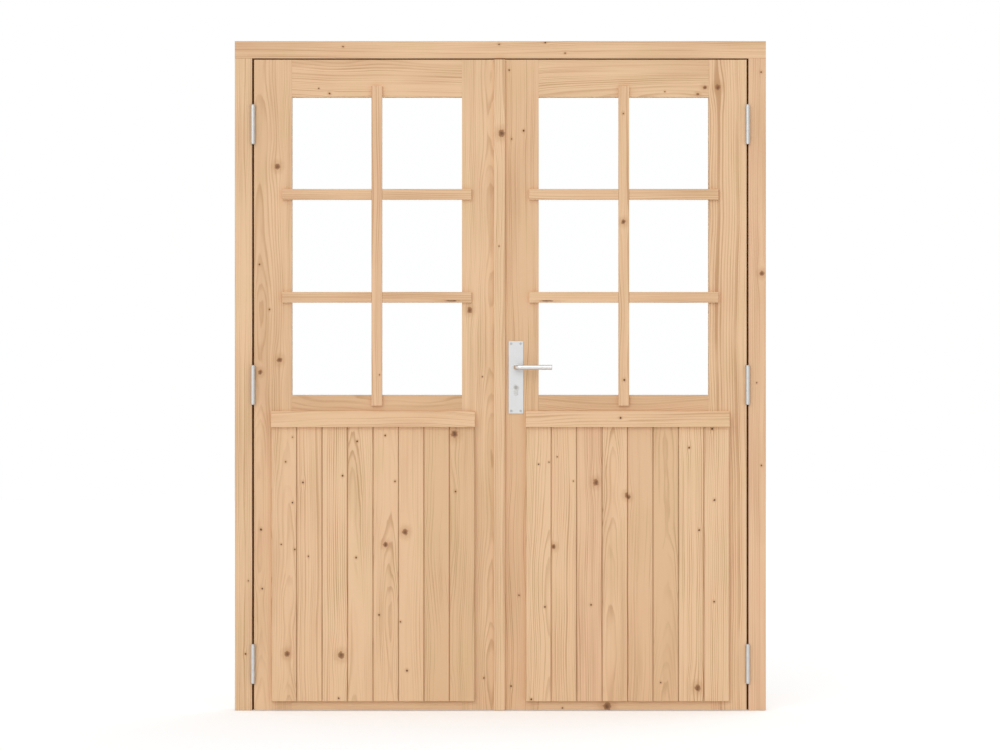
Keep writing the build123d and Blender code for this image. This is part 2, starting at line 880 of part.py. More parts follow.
# Profile cylinder: two barrels on a web, joined by a bridge under the cam
with BuildPart() as lock_cylinder:
    with BuildSketch(Plane.XZ):
        add(euro_profile(0))
    extrude(amount=cylinder_half_length, both=True)
    cam_clear = cylinder_height - cylinder_diameter / 2 - cylinder_bridge
    with Locations((lock_x, 0, cylinder_z - cam_clear)):
        Box(
            cylinder_diameter,
            cam_width + 2 * cam_gap,
            cylinder_height,
            align=(Align.CENTER, Align.CENTER, Align.MIN),
            mode=Mode.SUBTRACT,
        )
    with BuildSketch(Plane.XZ):
        with Locations((lock_x, cylinder_z)):
            Circle(plug_diameter / 2 + fit_clearance)
    extrude(amount=cylinder_half_length, both=True, mode=Mode.SUBTRACT)
save(lock_cylinder.part, "lock_cylinder")

with BuildPart() as cylinder_plug:
    with BuildSketch(Plane.XZ):
        with Locations((lock_x, cylinder_z)):
            Circle(plug_diameter / 2)
    extrude(amount=cylinder_half_length, both=True)
    with BuildSketch(Plane.XZ):
        with Locations((lock_x, cylinder_z)):
            Circle(cylinder_diameter / 2)
            Rectangle(cylinder_web - 2, cam_reach, align=(Align.CENTER, Align.MAX))
    extrude(amount=cam_width / 2, both=True)
    for side in (-1, 1):
        with Locations((lock_x, side * (cylinder_half_length - keyway_depth / 2), cylinder_z)):
            Box(keyway_width, keyway_depth, keyway_height, mode=Mode.SUBTRACT)
save(cylinder_plug.part, "cylinder_plug")

# Backplates and levers
with BuildPart() as handle_plates:
    with BuildSketch(Plane.XZ.offset(leaf_back)):
        with Locations((lock_x, plate_z)):
            RectangleRounded(plate_width, plate_height, plate_corner)
    extrude(amount=plate_thickness)
    fillet(handle_plates.faces().sort_by(Axis.Y)[0].outer_wire().edges(), plate_round)
    with BuildSketch(Plane.XZ.offset(leaf_back)):
        with Locations((lock_x, lever_height)):
            Circle(lever_diameter / 2 + fit_clearance)
        add(euro_profile(cylinder_clearance))
    extrude(amount=plate_thickness, mode=Mode.SUBTRACT)
    countersinks(plate_screws[: len(plate_screws) // 2], plate_thickness)
    mirror(about=Plane.XZ)
save(handle_plates.part, "handle_plates")

lever_y = leaf_back + plate_thickness + lever_stand_off


def lever_bar(side):
    """A round-bar lever on the face towards this side of Y, bent once towards the hinges."""
    with BuildLine() as path:
        FilletPolyline(
            (lock_x, side * leaf_back, lever_height),
            (lock_x, side * lever_y, lever_height),
            (lock_x + lever_length, side * lever_y, lever_height),
            radius=lever_bend,
        )
    start = Plane(origin=(lock_x, side * leaf_back, lever_height), x_dir=(1, 0, 0), z_dir=(0, side, 0))
    with BuildSketch(start) as section:
        Circle(lever_diameter / 2)
    sweep(section.sketch, path=path.line)


with BuildPart() as front_lever:
    lever_bar(-1)
    chamfer(front_lever.faces().sort_by(Axis.X)[-1].edges(), lever_end_chamfer)
    with Locations((lock_x, -leaf_back - spindle_socket / 2, lever_height)):
        Box(
            spindle_size + 2 * fit_clearance,
            spindle_socket,
            spindle_size + 2 * fit_clearance,
            mode=Mode.SUBTRACT,
        )
save(front_lever.part, "front_lever")

with BuildPart() as back_lever:
    lever_bar(1)
    chamfer(back_lever.faces().sort_by(Axis.X)[-1].edges(), lever_end_chamfer)
    with Locations((lock_x, leaf_back, lever_height)):
        Box(
            spindle_size,
            leaf_thickness + spindle_socket - 1,
            spindle_size,
            align=(Align.CENTER, Align.MAX, Align.CENTER),
        )
save(back_lever.part, "back_lever")

# Slide bolts
with BuildPart() as slide_bolt_guides:
    for upward in (True, False):
        guides = slide_levels(upward)[1]
        reach = guide_height / 2 + slide_plate_margin
        with Locations((-slide_x, leaf_back, guides[0] - reach)):
            Box(
                slide_plate_width,
                slide_plate_thickness,
                guides[1] - guides[0] + 2 * reach,
                align=(Align.CENTER, Align.MIN, Align.MIN),
            )
        for z in guides:
            with BuildSketch(Plane.XY.offset(z - guide_height / 2)) as section:
                with Locations((-slide_x, leaf_back)):
                    Rectangle(
                        guide_width, slide_y - leaf_back + guide_width / 2, align=(Align.CENTER, Align.MIN)
                    )
                fillet(section.vertices().group_by(Axis.Y)[-1], guide_round)
                with Locations((-slide_x, slide_y)):
                    Circle(slide_rod_diameter / 2 + fit_clearance, mode=Mode.SUBTRACT)
            extrude(amount=guide_height)
    countersinks(slide_screws, slide_plate_thickness)
save(slide_bolt_guides.part, "slide_bolt_guides")

for name, upward in (("top_slide_bolt", True), ("bottom_slide_bolt", False)):
    rod_foot, guides = slide_levels(upward)
    clear = guide_height / 2 + knob_diameter / 2 + 1
    knob_z = guides[0] + clear if upward else guides[1] - clear
    with BuildPart() as rod:
        with BuildSketch(Plane.XY.offset(rod_foot)):
            with Locations((-slide_x, slide_y)):
                Circle(slide_rod_diameter / 2)
        extrude(amount=slide_rod_length)
        chamfer(rod.edges().filter_by(GeomType.CIRCLE), 1)
        with BuildSketch(Plane.XZ.offset(-slide_y)):
            with Locations((-slide_x, knob_z)):
                Circle(knob_diameter / 2)
        extrude(amount=-slide_rod_diameter / 2 - knob_length)
        chamfer(rod.faces().sort_by(Axis.Y)[-1].edges(), 1)
    save(rod.part, name)

# Screws
hinge_screw = wood_screw(hinge_screw_length)
fitting_screw = wood_screw(fitting_screw_length)
corner_screw = wood_screw(corner_screw_length)

with BuildPart() as frame_screws:
    with Locations(*jamb_hinge_screws):
        add(hinge_screw)
    with Locations(*corner_screws):
        add(corner_screw)
    mirror(about=Plane.YZ)
save(frame_screws.part, "frame_screws")

with BuildPart() as hinge_side_screws:
    with Locations(*leaf_hinge_screws):
        add(hinge_screw)

with BuildPart() as right_leaf_screws:
    add(hinge_side_screws.part)
    with Locations(*forend_screws, *plate_screws):
        add(fitting_screw)
save(right_leaf_screws.part, "right_leaf_screws")

with BuildPart() as left_leaf_screws:
    add(mirror(hinge_side_screws.part, about=Plane.YZ))
    with Locations(*strike_screws, *slide_screws):
        add(fitting_screw)
save(left_leaf_screws.part, "left_leaf_screws")
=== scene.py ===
import math

import bpy
from mathutils import Matrix, Vector


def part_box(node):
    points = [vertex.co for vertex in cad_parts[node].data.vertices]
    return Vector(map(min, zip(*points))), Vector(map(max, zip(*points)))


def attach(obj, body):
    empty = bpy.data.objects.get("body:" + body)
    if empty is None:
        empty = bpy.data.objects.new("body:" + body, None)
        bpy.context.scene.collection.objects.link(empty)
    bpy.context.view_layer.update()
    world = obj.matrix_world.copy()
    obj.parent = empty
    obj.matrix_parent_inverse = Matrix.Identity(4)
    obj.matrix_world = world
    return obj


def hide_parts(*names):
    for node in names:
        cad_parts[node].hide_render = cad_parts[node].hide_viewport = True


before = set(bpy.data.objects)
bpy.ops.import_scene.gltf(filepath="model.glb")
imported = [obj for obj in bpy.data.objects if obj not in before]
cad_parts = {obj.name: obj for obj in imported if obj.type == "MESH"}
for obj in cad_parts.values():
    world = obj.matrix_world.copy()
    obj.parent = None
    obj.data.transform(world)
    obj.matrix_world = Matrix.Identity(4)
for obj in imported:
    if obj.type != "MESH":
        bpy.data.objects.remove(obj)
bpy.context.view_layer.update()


# Frame
# Two jambs and a head of bare planed spruce, each sawn from its own log, with the stop worked in
# one piece on the back. The head lies across the tops of the jambs and is screwed down into them.

# How far the rebate for the leaves reaches from the door's middle and floor, and how deep it goes.
rebate_side = 0.7863
rebate_top = 2.0653
rebate_depth = 0.0455
frame_easing = 0.0006


def srgb(red, green, blue):
    """A colour as a picture editor gives it, from 0 to 255, as the linear colour a shader takes."""
    def linear(value):
        share = value / 255
        return share / 12.92 if share <= 0.04045 else ((share + 0.055) / 1.055) ** 2.4
    return (linear(red), linear(green), linear(blue), 1.0)


class Tree:
    """Adds nodes to a node tree, and sets or links their inputs by name or number."""

    def __init__(self, node_tree):
        self.nodes = node_tree.nodes
        self.links = node_tree.links

    def feed(self, node, inputs):
        """Links each input to the socket it is given, or sets it to a plain value."""
        for key, value in dict(inputs).items():
            if isinstance(value, bpy.types.NodeSocket):
                self.links.new(value, node.inputs[key])
            else:
                node.inputs[key].default_value = value

    def add(self, kind, inputs=(), out=0, **settings):
        """Adds a node and gives one of its outputs."""
        node = self.nodes.new(kind)
        for name, value in settings.items():
            setattr(node, name, value)
        self.feed(node, inputs)
        return node.outputs[out]

    def math(self, operation, a, b=0.0, c=0.0):
        return self.add("ShaderNodeMath", {0: a, 1: b, 2: c}, operation=operation)

    def vector_math(self, operation, a, b):
        return self.add("ShaderNodeVectorMath", {0: a, 1: b}, operation=operation)

    def scale(self, vector, factor):
        return self.add("ShaderNodeVectorMath", {0: vector, "Scale": factor}, operation="SCALE")

    def axes(self, vector):
        """The three parts of a vector, by the names X, Y and Z."""
        return self.add("ShaderNodeSeparateXYZ", {0: vector}).node.outputs

    def length(self, a, b):
        """The length of a flat vector with these two parts."""
        squares = self.math("ADD", self.math("MULTIPLY", a, a), self.math("MULTIPLY", b, b))
        return self.math("SQRT", squares)

    def noise(self, scale, detail, dimensions="3D", **places):
        inputs = {"Scale": scale, "Detail": detail, **places}
        return self.add("ShaderNodeTexNoise", inputs, noise_dimensions=dimensions)

    def vary(self, value, noise, amount):
        """Moves a value up and down with a noise from 0 to 1, by this amount in all."""
        return self.math("MULTIPLY_ADD", self.math("SUBTRACT", noise, 0.5), amount, value)

    def fade(self, value, start, end, low=0.0, high=1.0):
        """Goes smoothly from low to high as the value goes from start to end."""
        inputs = {"Value": value, "From Min": start, "From Max": end, "To Min": low, "To Max": high}
        return self.add("ShaderNodeMapRange", inputs, interpolation_type="SMOOTHSTEP")

    def mix(self, factor, a, b, blend="MIX"):
        """Goes from colour a to colour b as the factor goes from 0 to 1, and no further."""
        # The node has sockets for every kind of value, and those for colours have these numbers.
        return self.add("ShaderNodeMix", {0: factor, 6: a, 7: b}, out=2, data_type="RGBA", blend_type=blend)


def new_group(name, inputs, outputs):
    """A shader node group, with its Tree, the sockets its inputs come from and the node it ends in."""
    group = bpy.data.node_groups.new(name, "ShaderNodeTree")
    for way, sockets in (("INPUT", inputs), ("OUTPUT", outputs)):
        for socket_name, kind in sockets.items():
            group.interface.new_socket(socket_name, in_out=way, socket_type=f"NodeSocket{kind}")
    given = group.nodes.new("NodeGroupInput").outputs
    return group, Tree(group), given, group.nodes.new("NodeGroupOutput")


def new_material(name):
    """A material, with its Tree and its shader."""
    material = bpy.data.materials.new(name)
    material.use_nodes = True
    return material, Tree(material.node_tree), material.node_tree.nodes["Principled BSDF"]


def dress(obj, material):
    """Gives a piece this one material."""
    obj.data.materials.clear()
    obj.data.materials.append(material)


def make_knot_group():
    """Bends the grain round one knot or streak, and measures how many of its radii away a point is."""
    group, tree, given, result = new_group(
        "knot",
        {
            "Place": "Vector", "Centre": "Vector", "Radius": "Float", "Stretch": "Float",
            "Ragged": "Float", "Away": "Float", "Core": "Float",
        },
        {"Place": "Vector", "Away": "Float", "Core": "Float"},
    )
    axes = tree.axes(tree.vector_math("SUBTRACT", given["Place"], given["Centre"]))
    across, along = axes["X"], axes["Z"]

    def radii_away(stretch):
        far = tree.length(across, tree.math("MULTIPLY", along, stretch))
        return tree.math("DIVIDE", far, given["Radius"])

    # The grain swings out round an oval that is longer than the knot.
    oval_stretch = tree.math("MULTIPLY", given["Stretch"], 0.42)
    push = tree.fade(radii_away(oval_stretch), start=4.6, end=0.4, high=0.58)
    shift = tree.add("ShaderNodeCombineXYZ", {"X": tree.math("MULTIPLY", across, push)})
    bent = tree.vector_math("SUBTRACT", given["Place"], shift)

    away = tree.vary(radii_away(given["Stretch"]), given["Ragged"], amount=1.5)
    # A pin knot is dead wood, nearly black in its middle.
    is_pin_knot = tree.fade(given["Radius"], start=0.0045, end=0.0032)
    core = tree.math("MULTIPLY", tree.fade(away, start=0.95, end=0.45), is_pin_knot)
    tree.feed(result, {
        "Place": bent,
        "Away": tree.math("MINIMUM", away, given["Away"]),
        "Core": tree.math("MAXIMUM", core, given["Core"]),
    })
    return group


def make_spruce_group():
    """Year rings of a log whose heart wanders along the length, with fibre, streaks and knots."""
    group, tree, given, result = new_group(
        "spruce",
        {
            "Place": "Vector", "Heart X": "Float", "Heart Y": "Float", "Lean X": "Float",
            "Lean Y": "Float", "Sway": "Float", "Ring": "Float", "Lines": "Float", "Seed": "Float",
            "Tone": "Float", "Pale": "Color", "Dark": "Color", "Away": "Float", "Core": "Float",
            "Ragged": "Float",
        },
        {"Color": "Color", "Roughness": "Float", "Height": "Float"},
    )
    axes = tree.axes(given["Place"])
    x, y, z = axes["X"], axes["Y"], axes["Z"]

    def grain_noise(scale, detail, stretch):
        """Noise drawn out along the grain. The smaller the stretch, the longer its marks."""
        drawn = tree.vector_math("MULTIPLY", given["Place"], (1.0, 1.0, stretch))
        return tree.noise(scale, detail, "4D", Vector=drawn, W=given["Seed"])

    # The heart of the log wanders, and the rings round it waver.
    drift = tree.math("ADD", z, given["Seed"])
    other_drift = tree.math("ADD", drift, 40.0)
    heart_x = tree.math("MULTIPLY_ADD", z, given["Lean X"], given["Heart X"])
    heart_x = tree.vary(heart_x, tree.noise(1.7, 1.5, "1D", W=drift), given["Sway"])
    heart_y = tree.math("MULTIPLY_ADD", z, given["Lean Y"], given["Heart Y"])
    heart_y = tree.vary(heart_y, tree.noise(1.9, 1.5, "1D", W=other_drift), given["Sway"])
    radius = tree.length(tree.math("SUBTRACT", x, heart_x), tree.math("SUBTRACT", y, heart_y))
    radius = tree.vary(radius, grain_noise(34.0, 3.0, stretch=0.10), amount=0.0075)

    # Wide and narrow years follow each other, and each ends in a thin dark line of late wood.
    spread = tree.noise(45.0, 1.5, "1D", W=tree.math("ADD", radius, given["Seed"]))
    year = tree.math("MULTIPLY_ADD", spread, 3.2, tree.math("DIVIDE", radius, given["Ring"]))
    season = tree.math("FRACT", year)
    year_seed = tree.math("ADD", tree.math("FLOOR", year), given["Seed"])
    wet = tree.add("ShaderNodeTexWhiteNoise", {"W": year_seed}, out="Value", noise_dimensions="1D")
    late = tree.math("MULTIPLY", tree.fade(season, 0.40, 0.86), tree.fade(season, 1.0, 0.90))
    late = tree.math("MULTIPLY", late, tree.math("MULTIPLY_ADD", wet, 0.75, 0.25))
    # Here and there along a line it fades out.
    unbroken = tree.fade(grain_noise(22.0, 2.0, stretch=0.14), 0.30, 0.62, low=0.35)
    late = tree.math("MULTIPLY", late, unbroken)

    # The wood is darker along the late lines, in streaks and broad patches, and fibre by fibre.
    fibre = grain_noise(1400.0, 2.0, stretch=0.012)
    shade = tree.math("MULTIPLY_ADD", tree.math("SUBTRACT", late, 0.28), given["Lines"], 0.36)
    shade = tree.vary(shade, grain_noise(85.0, 3.0, stretch=0.03), amount=0.85)
    shade = tree.vary(shade, grain_noise(11.0, 1.5, stretch=0.20), amount=1.1)
    shade = tree.vary(shade, fibre, amount=0.22)
    shade = tree.math("ADD", shade, given["Tone"])
    colour = tree.mix(shade, given["Pale"], given["Dark"])
    # Other broad patches lean a little to olive or to pink.
    tint = grain_noise(15.0, 1.0, stretch=0.32)
    olive, pink = (0.965, 0.975, 0.94, 1.0), (1.0, 0.97, 0.97, 1.0)
    colour = tree.mix(tree.fade(tint, 0.52, 0.70, high=0.75), colour, olive, blend="MULTIPLY")
    colour = tree.mix(tree.fade(tint, 0.48, 0.30, high=0.75), colour, pink, blend="MULTIPLY")

    # Round a knot the wood is stained, and the knot itself is a brown ring about a dark middle.
    away = given["Away"]
    stained, brown, dark_brown = srgb(184, 136, 92), srgb(170, 124, 86), srgb(100, 64, 42)
    ragged_brown, nearly_black = srgb(128, 84, 56), srgb(62, 36, 22)
    colour = tree.mix(tree.fade(away, 3.4, 0.9, high=0.34), colour, stained)
    knot_colour = tree.mix(tree.fade(away, 0.85, 0.15), brown, dark_brown)
    knot_colour = tree.mix(tree.fade(given["Ragged"], 0.35, 0.65, high=0.55), knot_colour, ragged_brown)
    knot = tree.fade(away, 1.15, 0.80)
    colour = tree.mix(tree.math("MULTIPLY", knot, 0.88), colour, knot_colour)
    colour = tree.mix(tree.math("MULTIPLY", given["Core"], 0.80), colour, nearly_black)

    # The late wood is smoother than the rest, and late wood, fibres and knots stand a little proud.
    rough = tree.math("MULTIPLY_ADD", late, -0.10, tree.math("MULTIPLY_ADD", fibre, 0.14, 0.60))
    height = tree.math("ADD", tree.math("MULTIPLY", late, 0.5), tree.math("MULTIPLY", fibre, 0.5))
    height = tree.math("MULTIPLY_ADD", knot, 0.8, height)
    tree.feed(result, {"Color": colour, "Roughness": rough, "Height": height})
    return group


knot_group = make_knot_group()
spruce_group = make_spruce_group()

# The same wood in its common casts, as the colours of its early and its late wood.
casts = {
    "straw": (srgb(234, 198, 159), srgb(198, 158, 118)),
    "warm": (srgb(233, 196, 157), srgb(197, 155, 116)),
    "pink": (srgb(232, 193, 156), srgb(197, 152, 116)),
    "tan": (srgb(227, 189, 150), srgb(192, 151, 112)),
    "olive": (srgb(225, 188, 148), srgb(190, 151, 111)),
}


def log_seed(node):
    """A number worked out from a piece's name, so that each piece comes from a log of its own."""
    total = sum(place * ord(letter) for place, letter in enumerate(node, start=1))
    seed_count, seeds_per_metre = 977, 7.0
    return total % seed_count / seeds_per_metre


def lay_grain(tree, grain, low, high, middle):
    """Where a point lies from the middle of the front face, turned so that the grain runs along Z."""
    place = tree.vector_math("SUBTRACT", tree.add("ShaderNodeTexCoord", out="Object"), tuple(middle))
    if grain == "Z":
        return place
    # A turn about Y lays the grain of the cross pieces along X.
    turned = tree.add("ShaderNodeMapping", {"Vector": place, "Rotation": (0.0, math.radians(90), 0.0)})
    if grain == "X":
        return turned
    # Inside each mitre the grain turns with the piece: the nearer outer edge says which piece it is.
    axes = tree.axes(place)
    from_side = tree.math("SUBTRACT", (high.x - low.x) / 2, tree.math("ABSOLUTE", axes["X"]))
    from_end = tree.math("SUBTRACT", (high.z - low.z) / 2, tree.math("ABSOLUTE", axes["Z"]))
    in_cross_piece = tree.math("LESS_THAN", from_end, from_side)
    step = tree.scale(tree.vector_math("SUBTRACT", turned, place), in_cross_piece)
    return tree.vector_math("ADD", place, step)


def grow_knots(tree, place, knots, grain, middle):
    """Bends the grain round the knots. Gives the bent place, the radii to the nearest knot, how far the
    point is in a dark core, and the noise that frays the knots."""
    away, core = 10.0, 0.0
    if not knots:
        return place, away, core, 0.5
    ragged = tree.noise(120.0, 3.0, Vector=place)
    for x, z, radius, *times_longer in knots:
        across, along = x - middle.x, z - middle.z
        centre = (along, 0.0, -across) if grain == "X" else (across, 0.0, along)
        stretch = 1.0 / times_longer[0] if times_longer else 0.9
        bent = tree.add("ShaderNodeGroup", {
            "Place": place, "Centre": centre, "Radius": radius, "Stretch": stretch,
            "Ragged": ragged, "Away": away, "Core": core,
        }, node_tree=knot_group).node.outputs
        place, away, core = bent["Place"], bent["Away"], bent["Core"]
    return place, away, core, ragged


def spruce(node, heart, ring, grain="Z", lean=(0.0, 0.0), sway=0.022, lines=0.85, cast="warm", tone=0.0,
           knots=(), groove_shading=0.0, rebate=None):
    """Gives a CAD piece the look of one sawn piece of spruce.

    heart is how far beside and behind the middle of the front face the heart of the log lies, in metres,
    lean how fast it moves along the grain, and sway how far it wanders. Beside the piece it gives straight
    lines, and behind it arches. ring is the width of a year, and lines how dark its late wood is. tone makes
    the piece darker than its cast, or paler where it is below zero. knots holds the x and z of each knot in
    the door's frame and its radius, and for a streak also how many times longer than wide it is. machined is
    how much painted shade darkens the V-joints and edges just behind the front face. rebate is the axis
    across a frame piece's rebate and how far out from the door's middle or floor the rebate reaches; its
    faces there are browned with painted shade. grain is the axis along the piece, or "mitred" for four mitred
    pieces in one.
    """
    low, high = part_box(node)
    middle = Vector(((low.x + high.x) / 2, low.y, (low.z + high.z) / 2))
    material, tree, shader = new_material(f"spruce_{node}")
    laid = lay_grain(tree, grain, low, high, middle)
    depth = tree.axes(laid)["Y"]
    place, away, core, ragged = grow_knots(tree, laid, knots, grain, middle)

    pale, dark = casts[cast]
    wood = tree.add("ShaderNodeGroup", {
        "Place": place, "Heart X": heart[0], "Heart Y": heart[1], "Lean X": lean[0], "Lean Y": lean[1],
        "Sway": sway, "Ring": ring, "Lines": lines, "Seed": log_seed(node), "Tone": tone,
        "Pale": pale, "Dark": dark, "Away": away, "Core": core, "Ragged": ragged,
    }, node_tree=spruce_group).node.outputs
    colour = wood["Color"]
    # Painted shade: the V-joints and edges just behind the front face are darkened brown, where shade falls
    # in them.
    if groove_shading:
        groove_shade_mask = tree.fade(depth, 0.0005, 0.0024, high=groove_shading)
        groove_shade_mask = tree.math("MULTIPLY", groove_shade_mask, tree.fade(depth, 0.015, 0.010))
        colour = tree.mix(groove_shade_mask, colour, srgb(146, 100, 60))
    if rebate:
        # Painted shade: the rebate that the leaf shuts into is browned, standing in for the shade in the gap
        # round the leaf.
        axis, reach = rebate
        from_middle = tree.axes(tree.add("ShaderNodeTexCoord", out="Object"))[axis]
        inside = tree.math("LESS_THAN", tree.math("ABSOLUTE", from_middle), reach)
        inside = tree.math("MULTIPLY", inside, tree.math("LESS_THAN", depth, rebate_depth))
        painted_rebate_shade = tree.math("MULTIPLY", inside, tree.fade(depth, 0.0005, 0.003, high=0.6))
        colour = tree.mix(painted_rebate_shade, colour, srgb(150, 90, 40))
    bump = {"Height": wood["Height"], "Strength": 0.35, "Distance": 0.0002}
    tree.feed(shader, {
        "Base Color": colour, "Roughness": wood["Roughness"], "Specular IOR Level": 0.20,
        "Normal": tree.add("ShaderNodeBump", bump, out="Normal"),
    })
    dress(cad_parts[node], material)


def ease_edges(width, *nodes):
    """Takes the sharpness off the edges of planed pieces, as a light sanding does."""
    for node in nodes:
        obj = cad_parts[node]
        weld = obj.modifiers.new("weld", "WELD")
        weld.merge_threshold = 0.00002
        flatten = obj.modifiers.new("flatten", "DECIMATE")
        flatten.decimate_type = "DISSOLVE"
        flatten.angle_limit = math.radians(0.5)
        bevel = obj.modifiers.new("bevel", "BEVEL")
        bevel.width = width
        bevel.segments = 2
        bevel.limit_method = "ANGLE"
        bevel.angle_limit = math.radians(35)
        bevel.harden_normals = True


spruce("left_jamb", rebate=("X", rebate_side), heart=(-0.13, 0.02), ring=0.0058, lines=1.0, cast="straw",
       tone=0.03, sway=0.018,
       knots=((-0.798, 0.411, 0.0024), (-0.807, 0.179, 0.0029)))
spruce("right_jamb", rebate=("X", rebate_side), heart=(0.13, 0.03), ring=0.0064, lines=0.8, cast="pink",
       tone=-0.02,
       knots=((0.828, 1.384, 0.0075), (0.812, 1.038, 0.0022), (0.826, 2.022, 0.0031), (0.827, 0.776, 0.0028)))
spruce("frame_head", grain="X", rebate=("Z", rebate_top), heart=(0.12, 0.04), ring=0.0062, lines=0.75,
       knots=((-0.498, 2.102, 0.0026), (-0.004, 2.110, 0.0029), (0.142, 2.115, 0.0026),
              (0.205, 2.082, 0.0026)))
ease_edges(frame_easing, "left_jamb", "right_jamb", "frame_head")


# Leaf frames
# Each leaf is two stiles with three rails stub-tenoned between them, glued up and planed flush.
# The stiles run the full height, so their grain is upright, and the rails' grain lies across.

leaf_easing = 0.0006

spruce("left_hinge_stile", heart=(-0.040, 0.055), lean=(0.0, 0.012), ring=0.0038, lines=0.75, tone=0.05,
       knots=((-0.706, 1.723, 0.0085), (-0.763, 1.413, 0.0029), (-0.731, 1.270, 0.0029),
              (-0.699, 1.110, 0.0080), (-0.760, 1.071, 0.0070), (-0.758, 0.573, 0.0034),
              (-0.754, 0.386, 0.0026)))
spruce("left_meeting_stile", heart=(0.034, 0.055), lean=(0.0, 0.012), ring=0.0036, lines=0.65,
       cast="straw", tone=-0.06,
       knots=((-0.097, 1.268, 0.0080), (-0.057, 1.057, 0.0022), (-0.052, 0.103, 0.0026)))
spruce("right_meeting_stile", heart=(-0.10, 0.03), ring=0.0076, lines=1.00, cast="tan", tone=-0.12,
       sway=0.03,
       knots=((0.028, 2.028, 0.0026), (0.036, 1.810, 0.0026), (0.074, 1.836, 0.0034),
              (0.059, 0.365, 0.0028), (0.034, 0.077, 0.0028)))
spruce("right_hinge_stile", heart=(-0.085, 0.04), lean=(0.0, 0.010), ring=0.0080, lines=1.05, tone=-0.08,
       knots=((0.689, 1.974, 0.0085),))
spruce("left_top_rail", grain="X", heart=(0.07, 0.05), lean=(0.02, 0.01), ring=0.0056, lines=1.0,
       tone=0.09,
       knots=((-0.541, 1.954, 0.0031), (-0.575, 1.970, 0.0021)))
spruce("right_top_rail", grain="X", heart=(-0.07, 0.05), lean=(-0.02, 0.01), ring=0.0056, lines=1.0,
       cast="straw", tone=0.14,
       knots=((0.648, 1.973, 0.0062), (0.626, 1.954, 0.0050), (0.521, 1.960, 0.0022)))
spruce("left_mid_rail", grain="X", heart=(0.06, 0.05), lean=(0.0, 0.01), ring=0.0072, lines=0.80,
       sway=0.05, cast="tan", tone=0.10)
spruce("right_mid_rail", grain="X", heart=(-0.06, 0.05), lean=(0.0, 0.01), ring=0.0072, lines=0.80,
       sway=0.05, cast="tan", tone=0.07)
spruce("left_bottom_rail", grain="X", heart=(0.09, 0.04), ring=0.0060, tone=-0.32)
spruce("right_bottom_rail", grain="X", heart=(-0.09, 0.04), ring=0.0060, tone=-0.38,
       knots=((0.338, 0.013, 0.0120), (0.197, 0.008, 0.0024)))
for side in ("left", "right"):
    for part in ("hinge_stile", "meeting_stile", "top_rail", "mid_rail", "bottom_rail"):
        ease_edges(leaf_easing, f"{side}_{part}")


# Boarding
# Eight tongued, grooved and V-jointed boards planted side by side on the lower half of each leaf.
# They come from many logs, so no two have the same figure. The first is the nearest to the meeting edge.

board_easing = 0.0004
# How far painted shade darkens the boards' V-joints and edges towards a dark brown.
painted_groove_darkening = 0.34


def board(side, number, **figure):
    """One board, with painted shade darkening its V-joints and edges a little."""
    node = f"{side}_board_{number}"
    spruce(node, groove_shading=painted_groove_darkening, **figure)
    ease_edges(board_easing, node)


board("left", 1, heart=(-0.05, 0.05), ring=0.0050, lines=0.95, cast="olive", tone=-0.05, sway=0.04,
      knots=((-0.145, 0.876, 0.0105), (-0.142, 0.694, 0.0031)))
board("left", 2, heart=(-0.07, 0.04), ring=0.0056, lines=1.00, cast="olive", tone=-0.14, sway=0.04)
board("left", 3, heart=(0.12, 0.06), ring=0.0085, lines=0.56, tone=-0.24,
      knots=((-0.301, 0.566, 0.0090), (-0.316, 0.282, 0.0026), (-0.295, 0.128, 0.0034)))
board("left", 4, heart=(0.014, 0.045), lean=(0.0, 0.016), ring=0.0032, lines=0.70, tone=-0.16,
      knots=((-0.364, 0.871, 0.0029), (-0.333, 0.726, 0.0028), (-0.363, 0.526, 0.0075),
             (-0.383, 0.304, 0.0028)))
board("left", 5, heart=(-0.016, 0.045), lean=(0.0, 0.022), ring=0.0038, lines=0.95, cast="straw",
      tone=-0.06, sway=0.012,
      knots=((-0.453, 0.853, 0.0031), (-0.456, 0.485, 0.0031)))
board("left", 6, heart=(-0.09, 0.03), ring=0.0066, lines=1.40, cast="straw", tone=-0.08,
      knots=((-0.499, 0.744, 0.0031), (-0.503, 0.176, 0.0100), (-0.511, 0.040, 0.0028)))
board("left", 7, heart=(0.10, 0.03), ring=0.0056, lines=1.23, tone=-0.1,
      knots=((-0.624, 0.723, 0.0033), (-0.607, 0.489, 0.0024)))
board("left", 8, heart=(0.014, 0.055), lean=(0.0, 0.016), ring=0.0032, lines=0.80, tone=-0.08,
      knots=((-0.657, 0.866, 0.0024), (-0.679, 0.788, 0.0026), (-0.657, 0.659, 0.0029),
             (-0.650, 0.511, 0.0026), (-0.693, 0.527, 0.0024), (-0.674, 0.181, 0.0085)))
board("right", 1, heart=(0.034, 0.04), lean=(0.0, 0.014), ring=0.0046, lines=1.29, cast="straw",
      tone=-0.06,
      knots=((0.121, 0.780, 0.0026), (0.154, 0.787, 0.0024), (0.141, 0.329, 0.0029), (0.098, 0.037, 0.0031)))
board("right", 2, heart=(0.11, 0.03), ring=0.0054, lines=1.18, tone=-0.2,
      knots=((0.180, 0.804, 0.0022), (0.231, 0.727, 0.0022), (0.169, 0.520, 0.0070)))
board("right", 3, heart=(-0.10, 0.03), ring=0.0062, lines=1.29, cast="pink", tone=0.02,
      knots=((0.302, 0.723, 0.0088), (0.287, 0.336, 0.0028)))
board("right", 4, heart=(-0.016, 0.045), lean=(0.0, 0.020), ring=0.0034, lines=0.85, tone=-0.05, sway=0.035,
      knots=((0.402, 0.682, 0.0080),))
